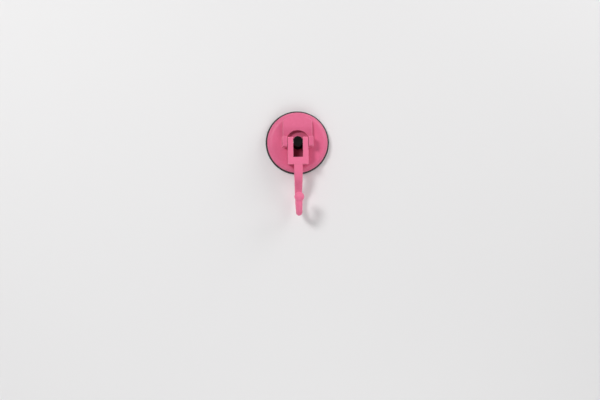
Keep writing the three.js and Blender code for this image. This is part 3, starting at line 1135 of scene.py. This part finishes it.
@dataclass
class Cap:
    """The pink moulding over the cup: a round dish with a ramp and two ears, hollow underneath."""

    cell: float = 0.4
    wall: float = 2.0
    rim_round: float = 5.6
    rim_drop: float = 5.8
    flat_level: float = 10.1
    ramp_half_width: float = 14.75
    ramp_inset: float = 4.3
    ramp_sink: float = 0.3
    ramp_rise: float = 4.2
    ramp_crest: float = 14.0
    ramp_low: float = 0.9
    ear_top: float = 5.2
    ear_bottom: float = 4.9
    ear_round: float = 2.2
    ear_half_width: float = 15.55
    slot_half_width: float = 10.75
    arch_rise: float = 7.1
    arch_top: float = 11.7
    stem_hole: float = 4.85
    slot_top: float = 0.8
    slot_drop: float = 2.65
    rib_half_thickness: float = 0.8
    rib_offset: float = 4.6
    edge: float = 0.8
    slot_edge: float = 0.4
    fillet: float = 0.8
    hidden_edge: float = 0.3
    low: Array = field(default_factory=lambda: span(Node.CAP)[0])
    high: Array = field(default_factory=lambda: span(Node.CAP)[1])

    def dish(self, radius: Array, level: Array, shrink: float) -> Array:
        """Draws the round dish, or its hollow when it is shrunk by the wall.

        Args:
            radius: distance from the axis.
            level: distance from the wall.
            shrink: how far the surface lies inside the dish's own.

        Returns:
            The field.
        """
        start = self.high[0] - self.rim_round
        spring = self.flat_level - self.rim_drop
        a, b = self.rim_round - shrink, self.rim_drop - shrink
        out, up = np.maximum(radius - start, 0), np.maximum(level - spring, 0)
        near = np.hypot(out / a, up / b)
        steep = np.maximum(np.hypot(out / a**2, up / b**2), FLAT_GUARD)
        plain = np.maximum(radius - start - a, level - spring - b)
        return np.where((out > 0) & (up > 0), near * (near - 1) / steep, plain)

    def under_ramp(self, level: Array, z: Array, depth: float) -> Array:
        """Draws what lies below the ramp's face, or a depth below it.

        Args:
            level: distance from the wall.
            z: places up.
            depth: how far below the face.

        Returns:
            The field.
        """
        reach = self.high[0] - self.ramp_inset
        rise, length = self.ramp_rise + self.ramp_sink, reach - self.ramp_crest
        turn = np.clip((reach - z) / length, 0, 1) * math.pi / 2
        face = self.flat_level - self.ramp_sink + rise * np.sin(turn)
        slope = rise * np.cos(turn) * math.pi / 2 / length
        return (level - face) / np.hypot(1, slope) + depth

    def shape(self, x: Array, y: Array, z: Array) -> Array:
        """Gives the cap's field.

        Args:
            x: places across.
            y: places towards the wall.
            z: places up.

        Returns:
            The field there.
        """
        level, across, radius = -y, np.abs(x), np.hypot(x, z)
        reach = self.high[0] - self.ramp_inset
        ramp = rounded_common(self.under_ramp(level, z, 0), across - self.ramp_half_width, self.edge)
        ramp = rounded_common(ramp, radius - reach, self.edge)
        ramp = np.maximum(ramp, self.ramp_low - z)
        ears = rounded_common(level + self.low[1], -self.ear_bottom - z, self.ear_round)
        ears = rounded_common(ears, z - self.ear_top, self.edge)
        ears = rounded_common(ears, across - self.ear_half_width, self.edge)
        raised = rounded_join(ramp, ears, self.slot_edge)
        arch_radius = (self.slot_half_width**2 + self.arch_rise**2) / (2 * self.arch_rise)
        over = np.maximum(z - self.arch_top + arch_radius, 0)
        slot = np.maximum(across - self.slot_half_width, np.hypot(x, over) - arch_radius)
        raised = rounded_cut(raised, slot, self.slot_edge)
        body = rounded_join(self.dish(radius, level, 0), raised, self.fillet)
        body = rounded_common(body, -self.high[1] - level, self.hidden_edge)
        body = rounded_cut(body, self.dish(radius, level, self.wall), self.hidden_edge)
        body = rounded_cut(body, self.ramp_hollow(level, across, radius, z), self.hidden_edge)
        past = np.maximum(np.maximum(z - self.slot_top, -self.slot_drop - z), 0)
        return rounded_cut(body, np.hypot(x, past) - self.stem_hole, self.hidden_edge)

    def ramp_hollow(self, level: Array, across: Array, radius: Array, z: Array) -> Array:
        """Draws the hollow under the ramp, with its two ribs left standing.

        Args:
            level: distance from the wall.
            across: distance from the middle plane.
            radius: distance from the axis.
            z: places up.

        Returns:
            The field.
        """
        reach = self.high[0] - self.ramp_inset
        hollow = np.maximum(self.under_ramp(level, z, self.wall), across - self.ramp_half_width + self.wall)
        hollow = np.maximum(hollow, radius - reach + self.wall)
        hollow = np.maximum(hollow, self.arch_top + self.wall - z)
        rib = np.abs(across - self.rib_offset) - self.rib_half_thickness
        return np.maximum(hollow, -rib)

    def build(self, effects: Effects) -> bpy.types.Object:
        """Makes the cap, dresses it and lets it ride on its body."""
        surface = Mould(self.low, self.high, self.cell).cast(self.shape)
        return Piece(Node.CAP, Body.CAP, Slot.PINK, surface).ride(PINK.material(effects))


@dataclass
class SuctionCup:
    """The soft cup: its lip seals on the wall, and its middle is moulded round the stem's flange."""

    facets: int = 144
    lip_width: float = 7.5
    lip_edge: float = 0.9
    shoulder_level: float = 2.5
    shoulder_width: float = 6.2
    shoulder_round: float = 0.5
    chamber_depth: float = 3.4
    flat_radius: float = 10.0
    membrane: float = 1.4
    boss_radius: float = 13.15
    boss_foot: float = 5.7
    boss_round: float = 0.6
    hole_radius: float = 4.35
    pocket_radius: float = 10.15
    collar_level: float = 6.9
    hole_edge: float = 0.3
    gate_radius: float = 1.6
    gate_depth: float = 0.35
    gate_edge: float = 0.3
    gate_flare: float = 0.25
    floor_start: float = 2.5
    floor_gap: float = 1.0
    lip_start: float = 1.0
    lip_gap: float = 0.5
    shelf_gap: float = 0.8
    boss_gap: float = 0.4
    edge_turn: float = 40.0
    floor_steps: int = 6
    dome_steps: int = 28
    lip_steps: int = 8
    edge_steps: int = 10
    round_steps: int = 5
    shelf_steps: int = 6
    boss_steps: int = 6
    low: Array = field(default_factory=lambda: span(Node.CUP)[0])
    high: Array = field(default_factory=lambda: span(Node.CUP)[1])

    def profile(self) -> list[Pair]:
        """Draws the cup's section from the air space round to the pocket of the stem.

        Returns:
            [radius, level] points.
        """
        radius, boss_level = self.high[0], -self.low[1]
        seal, shoulder = radius - self.lip_width, radius - self.lip_edge - self.shoulder_width
        share = np.linspace(0, 1, self.dome_steps + 1)
        swell = (1 + np.cos(math.pi * share)) / 2
        out = self.flat_radius + (seal - self.flat_radius) * share
        under = np.column_stack([out, self.chamber_depth * swell])
        out = self.boss_radius + (shoulder - self.boss_radius) * share
        height = self.shoulder_level + (self.boss_foot - self.shoulder_level) * swell
        over = np.column_stack([out, height])[::-1]
        rim = radius - self.lip_edge
        top = rim - self.lip_edge
        gate_level = self.chamber_depth - self.gate_depth
        gate = [
            (0.0, gate_level),
            (self.gate_radius - self.gate_edge, gate_level),
            (self.gate_radius, self.chamber_depth - self.gate_depth / 2),
            (self.gate_radius + self.gate_flare, self.chamber_depth),
        ]
        stops = np.linspace(self.floor_start, self.flat_radius - self.floor_gap, self.floor_steps)
        floor = [(stop, self.chamber_depth) for stop in stops]
        stops = np.linspace(seal + self.lip_start, rim - self.lip_gap, self.lip_steps)
        lip = [(stop, 0.0) for stop in stops]
        ends = (-90, self.edge_turn)
        edge = arc((rim, self.lip_edge), (self.lip_edge, self.lip_edge), ends, self.edge_steps)
        r = self.shoulder_round
        shelf = arc((top - r, self.shoulder_level - r), (r, r), (self.edge_turn, 90), self.round_steps)
        stops = np.linspace(top - r - self.shelf_gap, shoulder + self.shelf_gap, self.shelf_steps)
        shelf += [(stop, self.shoulder_level) for stop in stops]
        b = self.boss_round
        boss = [(self.boss_radius, self.boss_foot + self.boss_gap)]
        boss += arc((self.boss_radius - b, boss_level - b), (b, b), (0, 90), self.boss_steps)
        inside = [
            (self.hole_radius + self.hole_edge, boss_level),
            (self.hole_radius, boss_level - self.hole_edge),
            (self.hole_radius, self.collar_level),
            (self.pocket_radius, self.collar_level),
            (self.pocket_radius, self.chamber_depth + self.membrane),
            (0.0, self.chamber_depth + self.membrane),
        ]
        return [*gate, *floor, *map(tuple, under), *lip, *edge, *shelf, *map(tuple, over), *boss, *inside]

    def build(self, effects: Effects) -> bpy.types.Object:
        """Makes the cup and dresses it; it stays in place and rides on no body.

        Args:
            effects: the shared effects.

        Returns:
            The cup.
        """
        surface = lathe(self.profile(), self.facets, "Y")
        made = Piece(Node.CUP, Body.CAP, Slot.RUBBER, surface).make(RUBBER.material(effects))
        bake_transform(made)
        return made


@dataclass
class StemAndPin:
    """The hard black core in the cup, and the steel pin that crosses its post."""

    cell: float = 0.26
    flange_thickness: float = 1.8
    stalk_radius: float = 4.2
    post_radius: float = 4.55
    post_stretch: float = 0.8
    post_foot: float = 10.4
    post_round: float = 0.9
    edge: float = 0.25
    bore_radius: float = 1.65
    bore_edge: float = 0.2
    gate_radius: float = 3.0
    gate_depth: float = 0.22
    pin_edge: float = 0.3
    pin_end_ring: float = 0.5
    pin_facets: int = 64
    pin_rings: int = 24
    pin_edge_steps: int = 6
    low: Array = field(default_factory=lambda: span(Node.STEM)[0])
    high: Array = field(default_factory=lambda: span(Node.STEM)[1])
    pin_low: Array = field(default_factory=lambda: span(Node.PIN)[0])
    pin_high: Array = field(default_factory=lambda: span(Node.PIN)[1])
    axis: Array = field(default_factory=lambda: joint_place("lever_pivot"))

    def shape(self, x: Array, y: Array, z: Array) -> Array:
        """Gives the stem's field.

        Args:
            x: places across.
            y: places towards the wall.
            z: places up.

        Returns:
            The field there.
        """
        level, radius = -y, np.hypot(x, z)
        foot, end = -self.high[1], -self.low[1]
        flange = rounded_common(radius - self.high[0], level - foot - self.flange_thickness, self.edge)
        stalk = np.maximum(radius - self.stalk_radius, level + self.axis[1])
        off = np.hypot(x, np.maximum(np.abs(z) - self.post_stretch, 0)) - self.post_radius
        post = rounded_common(off, level - end, self.post_round)
        post = rounded_common(post, self.post_foot - level, self.edge)
        stem = rounded_common(np.minimum(flange, stalk), foot - level, self.edge)
        stem = np.minimum(stem, post)
        ball = self.gate_radius**2 / (2 * self.gate_depth)
        dimple = np.sqrt(radius**2 + (level - end - ball + self.gate_depth) ** 2) - ball
        stem = rounded_cut(stem, dimple, self.bore_edge)
        bore = np.hypot(y - self.axis[1], z - self.axis[2]) - self.bore_radius
        return rounded_cut(stem, bore, self.bore_edge)

    def build_stem(self, effects: Effects) -> bpy.types.Object:
        """Makes the stem, dresses it and lets it ride on its body."""
        surface = Mould(self.low, self.high, self.cell).cast(self.shape)
        return Piece(Node.STEM, Body.STEM, Slot.CORE, surface).ride(CORE.material(effects))

    def build_pin(self, effects: Effects) -> bpy.types.Object:
        """Makes the pin, dresses it and lets it ride with the stem.

        Args:
            effects: the shared effects.

        Returns:
            The pin.
        """
        half, radius = self.pin_high[0], (self.pin_high[2] - self.pin_low[2]) / 2
        e = self.pin_edge
        end = arc((radius - e, half - e), (e, e), (0, 90), self.pin_edge_steps)
        end += [(self.pin_end_ring * radius, half), (0.0, half)]
        start = [(r, -place) for r, place in reversed(end)]
        stops = np.linspace(-half + 2 * e, half - 2 * e, self.pin_rings)
        middle = [(radius, stop) for stop in stops]
        surface = lathe([*start, *middle, *end], self.pin_facets, "X")
        surface.points += self.axis * np.array([0.0, 1.0, 1.0])
        return Piece(Node.PIN, Body.STEM, Slot.STEEL, surface).ride(STEEL.material(effects))


@dataclass
class HookLever:
    """The pink lever: a fork with a cam on each arm, a shank that leans back, a bend and a ball tip."""

    cell: float = 0.36
    window_half_width: float = 4.9
    window_bottom: float = 15.7
    head_bottom: float = 22.9
    head_front: float = 3.5
    head_corner: float = 1.2
    cam_locked: float = 7.4
    cam_flat: float = 2.8
    back_rise: float = 0.9
    cam_steps: int = 24
    corner_steps: int = 8
    edge: float = 0.6
    outline_round: float = 0.5
    window_edge: float = 0.4
    bore_radius: float = 1.65
    bore_edge: float = 0.25
    shank_width: float = 8.8
    shank_thickness: float = 5.6
    shank_inset: float = 0.3
    shank_straight: float = 4.0
    shank_corner: float = 1.5
    neck_width: float = 7.3
    set_back: float = 10.2
    hook_diameter: float = 6.2
    bend_radius: float = 10.6
    ball_radius: float = 4.9
    tip_rise: float = 5.3
    tip_lean: float = 0.8
    lean_steps: int = 24
    neck_fillet: float = 0.8
    ball_fillet: float = 0.9
    low: Array = field(default_factory=lambda: span(Node.LEVER)[0])
    high: Array = field(default_factory=lambda: span(Node.LEVER)[1])
    axis: Array = field(default_factory=lambda: joint_place("lever_pivot"))

    def __post_init__(self) -> None:
        """Works out the outline of the head and the line that the hook follows, once."""
        self.cam_free = self.high[2]
        self.bend_height = self.low[2] + self.hook_diameter / 2 + self.bend_radius
        self.face = -self.head_front + self.shank_inset + self.shank_thickness / 2
        self.outline = inset(self.head_outline(), self.outline_round)
        self.line = self.hook_line()

    def head_outline(self) -> list[Pair]:
        """Draws the head in the side view, about the pin, with the cam's even fall from locked to free.

        Returns:
            [towards the wall, up] points, clockwise.
        """
        lift = (self.cam_locked - self.cam_free) / (math.pi / 2)
        c = self.head_corner
        outline = [(-self.head_front, -self.head_bottom)]
        outline += arc((c - self.head_front, self.cam_free - c), (c, c), (180, 90), self.corner_steps)
        for angle in np.linspace(math.pi / 2, 0, self.cam_steps + 1):
            fall = self.cam_locked - lift * angle
            towards = fall * math.cos(angle) + lift * math.sin(angle)
            up = fall * math.sin(angle) - lift * math.cos(angle)
            outline.append((towards, up))
        outline.append((self.cam_locked, -lift - self.cam_flat))
        outline.append((self.cam_locked - self.back_rise, -self.head_bottom))
        return outline

    def hook_line(self) -> list[Pair]:
        """Draws the shank's middle line from inside the head down to the bend, in the side view.

        Returns:
            [towards the wall, up] points, about the pin.
        """
        start = -(self.window_bottom + self.head_bottom) / 2
        lean = -self.head_bottom - self.shank_straight
        back = self.face + self.set_back
        pull = (lean - self.bend_height) / 2
        share = np.linspace(0, 1, self.lean_steps + 1)
        weights = [(1 - share) ** 3, 3 * share * (1 - share) ** 2, 3 * share**2 * (1 - share), share**3]
        across = np.array([self.face, self.face, back, back]) @ np.array(weights)
        upright = np.array([lean, lean - pull, self.bend_height + pull, self.bend_height]) @ np.array(weights)
        return [(self.face, start), *zip(across.tolist(), upright.tolist())]

    def nearest(self, y: Array, z: Array) -> tuple[Array, Array, Array]:
        """Finds the nearest place on the hook's middle line, in the side view about the pin.

        Args:
            y: places towards the wall.
            z: places up.

        Returns:
            How far off the line each place is, how high the line's place is, and whether it is past the
            hook's lowest point.
        """
        shape = np.broadcast(y, z).shape
        off, height = np.full(shape, np.inf), np.zeros(shape)
        past = np.zeros(shape, bool)
        back = self.face + self.set_back
        middle = back - self.bend_radius
        tip = (middle - self.bend_radius - self.tip_lean, self.bend_height + self.tip_rise)
        stretches = [(a, b, False) for a, b in zip(self.line, self.line[1:])]
        stretches.append(((middle - self.bend_radius, self.bend_height), tip, True))
        for (y0, z0), (y1, z1), beyond in stretches:
            dy, dz = y1 - y0, z1 - z0
            share = np.clip(((y - y0) * dy + (z - z0) * dz) / (dy * dy + dz * dz), 0, 1)
            far = np.hypot(y - y0 - share * dy, z - z0 - share * dz)
            nearer = far < off
            off = np.where(nearer, far, off)
            height = np.where(nearer, z0 + share * dz, height)
            past = np.where(nearer, beyond, past)
        reach = np.maximum(np.hypot(y - middle, z - self.bend_height), FLAT_GUARD)
        far = np.where(z < self.bend_height, np.abs(reach - self.bend_radius), np.inf)
        nearer = far < off
        low = self.bend_height + (z - self.bend_height) / reach * self.bend_radius
        past = np.where(nearer, np.broadcast_to(y < middle, shape), past)
        return np.where(nearer, far, off), np.where(nearer, low, height), past

    def hook(self, x: Array, y: Array, z: Array) -> Array:
        """Gives the field of the shank and the hook, whose section goes from a soft oblong to a circle.

        Args:
            x: places across.
            y: places towards the wall, from the pin.
            z: places up, from the pin.

        Returns:
            The field there.
        """
        off, height, past = self.nearest(y, z)
        down = -height
        neck = ease((down - self.head_bottom) / (-self.bend_height - self.head_bottom))
        slim = ease((down + self.bend_height + self.bend_radius) / (2 * self.bend_radius))
        neck, slim = np.where(past, 1, neck), np.where(past, 1, slim)
        width = self.shank_width + (self.neck_width - self.shank_width) * neck
        half_width = (width + (self.hook_diameter - width) * slim) / 2
        half_thickness = (self.shank_thickness + (self.hook_diameter - self.shank_thickness) * neck) / 2
        corner = self.shank_corner + (self.hook_diameter / 2 - self.shank_corner) * neck
        corner = np.minimum(corner, np.minimum(half_width, half_thickness))
        a, b = np.abs(x) - half_width + corner, off - half_thickness + corner
        return np.minimum(np.maximum(a, b), 0) + np.hypot(np.maximum(a, 0), np.maximum(b, 0)) - corner

    def shape(self, x: Array, y: Array, z: Array) -> Array:
        """Gives the lever's field.

        Args:
            x: places across.
            y: places towards the wall.
            z: places up.

        Returns:
            The field there.
        """
        y, z, across = y - self.axis[1], z - self.axis[2], np.abs(x)
        side = outline_field(self.outline, y, z) - self.outline_round
        head = rounded_common(side, across - self.high[0], self.edge)
        window = rounded_common(across - self.window_half_width, -self.window_bottom - z, self.window_edge)
        head = rounded_cut(head, window, self.window_edge)
        head = rounded_cut(head, np.hypot(y, z) - self.bore_radius, self.bore_edge)
        lever = rounded_join(head, self.hook(x, y, z), self.neck_fillet)
        tip_y = self.face + self.set_back - 2 * self.bend_radius - self.tip_lean
        tip_z = self.bend_height + self.tip_rise
        ball = np.sqrt(x**2 + (y - tip_y) ** 2 + (z - tip_z) ** 2) - self.ball_radius
        return rounded_join(lever, ball, self.ball_fillet)

    def build(self, effects: Effects) -> bpy.types.Object:
        """Makes the lever, dresses it and lets it ride on its body."""
        surface = Mould(self.low, self.high, self.cell).cast(self.shape)
        return Piece(Node.LEVER, Body.LEVER, Slot.PINK, surface).ride(PINK_LEVER.material(effects))


# Wall, light and camera


@dataclass
class Backdrop:
    """The pale wall behind the hook, with a round hole that the cup covers."""

    reach: float = 3000.0
    hole_radius: float = 31.0
    stand_off: float = 0.06
    facets: int = 96

    def build(self) -> bpy.types.Object:
        """Makes the wall.

        Returns:
            The wall.
        """
        angles = np.linspace(0, 2 * math.pi, self.facets, endpoint=False)
        ring = np.column_stack([np.cos(angles), np.zeros(self.facets), np.sin(angles)])
        away = np.array([0.0, self.stand_off, 0.0])
        points = np.vstack([ring * self.hole_radius + away, ring * self.reach + away]) * MM
        here = np.arange(self.facets)
        there = np.roll(here, -1)
        quads = np.column_stack([here, there, there + self.facets, here + self.facets])
        mesh = bpy.data.meshes.new("wall")
        mesh.from_pydata(points.tolist(), [], quads.tolist())
        mesh.update()
        if mesh.polygons[0].normal.y > 0:
            mesh.flip_normals()
        mesh.materials.append(PAINT.material())
        wall = bpy.data.objects.new("wall", mesh)
        bpy.context.scene.collection.objects.link(wall)
        return wall


@dataclass(frozen=True)
class AreaLamp:
    """A soft square lamp."""

    name: str
    place: Point
    aim: Point
    size: float
    power: float
    colour: Colour = (1.0, 1.0, 1.0)

    def build(self) -> bpy.types.Object:
        """Makes the lamp and turns it to its aim.

        Returns:
            The lamp.
        """
        data = bpy.data.lights.new(self.name, "AREA")
        data.size = self.size
        data.energy = self.power
        data.color = self.colour
        lamp = bpy.data.objects.new(self.name, data)
        lamp.location = self.place
        lamp.rotation_euler = (Vector(self.aim) - Vector(self.place)).to_track_quat("-Z", "Y").to_euler()
        lamp.visible_camera = False
        bpy.context.scene.collection.objects.link(lamp)
        return lamp


@dataclass
class Studio:
    """Soft light: a pale room, less so in front, and lamps at the upper left, the right, below and behind."""

    room_colour: Colour = (1.0, 1.0, 1.0)
    room_strength: float = 0.63
    rightwards: float = 0.2
    upwards: float = 0.06
    front_dimmed: float = 0.85
    front_start: float = 0.5
    front_full: float = 0.95
    lamps: Sequence[AreaLamp] = (
        AreaLamp("left_lamp", (-0.75, -1.15, 0.55), (0.0, 0.0, -0.02), 0.35, 11.0),
        AreaLamp("right_lamp", (0.85, -0.45, 0.6), (0.35, 0.0, 0.2), 0.6, 4.6),
        AreaLamp("low_lamp", (0.1, -0.75, -0.95), (0.0, 0.0, -0.06), 0.6, 4.0),
        AreaLamp("rear_lamp", (-0.5, 0.7, 0.45), (0.0, 0.0, -0.02), 0.3, 3.6),
        AreaLamp("rear_low_lamp", (0.6, 0.8, -0.35), (0.0, 0.0, -0.02), 0.4, 2.0),
    )

    def room_light(self, board: NodeBoard) -> Socket:
        """Works out how bright the room is in each direction.

        Args:
            board: the nodes of the room's light.

        Returns:
            The brightness.
        """
        way = board.add("ShaderNodeTexCoord").outputs["Generated"]
        parts = board.parts(way)
        slant = board.times(parts["X"], self.rightwards)
        slant = board.plus(slant, board.times(parts["Z"], self.upwards))
        forwards = board.times(parts["Y"], -1.0)
        front = board.times(board.step(forwards, self.front_start, self.front_full), self.front_dimmed)
        share = board.math("SUBTRACT", board.plus(slant, 1.0), front)
        return board.times(share, self.room_strength)

    def build(self) -> None:
        """Makes the room's light and the lamps."""
        world = bpy.data.worlds.new("room")
        world.use_nodes = True
        board = NodeBoard(world.node_tree)
        light = {"Color": self.room_colour, "Strength": self.room_light(board)}
        glow = board.add("ShaderNodeBackground", light)
        board.feed(board.add("ShaderNodeOutputWorld").inputs["Surface"], glow.outputs[0])
        bpy.context.scene.world = world
        for lamp in self.lamps:
            lamp.build()
            LOG.info("%s: %.1f W", lamp.name, lamp.power)
        bpy.context.scene.view_settings.view_transform = "Standard"


@dataclass
class HookCamera:
    """A camera a little left of the hook and below it, turned a little, as the photograph was taken."""

    place: Point = (-33.0, -900.0, -78.0)
    lens: float = 52.6
    sensor: float = 36.0
    picture_width: float = 600.0
    picture_height: float = 400.0
    cup_pixel: Pair = (297.3, 143.05)
    roll_degrees: float = 0.8
    clip_start: float = 0.01

    def build(self) -> bpy.types.Object:
        """Places the camera and turns it so that the cup's centre falls on its pixel.

        Returns:
            The camera.
        """
        pitch = self.sensor / self.lens / self.picture_width
        roll = math.radians(self.roll_degrees)
        across = Vector((math.cos(roll), 0.0, -math.sin(roll)))
        upright = Vector((math.sin(roll), 0.0, math.cos(roll)))
        outwards = Vector((0.0, -1.0, 0.0))
        square = Matrix((across, upright, outwards)).transposed()
        right = (self.cup_pixel[0] - self.picture_width / 2) * pitch
        up = (self.picture_height / 2 - self.cup_pixel[1]) * pitch
        place = Vector(self.place) * MM
        seen = square @ Vector((right, up, -1.0))
        swing = seen.rotation_difference(-place).to_matrix()
        data = bpy.data.cameras.new("camera")
        data.lens = self.lens
        data.sensor_width = self.sensor
        data.clip_start = self.clip_start
        camera = bpy.data.objects.new("camera", data)
        camera.matrix_world = Matrix.Translation(place) @ (swing @ square).to_4x4()
        bpy.context.scene.collection.objects.link(camera)
        bpy.context.scene.camera = camera
        return camera


def main() -> None:
    """Builds the hook piece by piece, then the wall, the light and the camera."""
    logging.basicConfig(level=logging.INFO, format="%(name)s: %(message)s")
    HookCamera().build()
    effects = Effects()
    Cap().build(effects)
    SuctionCup().build(effects)
    core = StemAndPin()
    core.build_stem(effects)
    core.build_pin(effects)
    HookLever().build(effects)
    Backdrop().build()
    Studio().build()


if __name__ == "__main__":
    main()
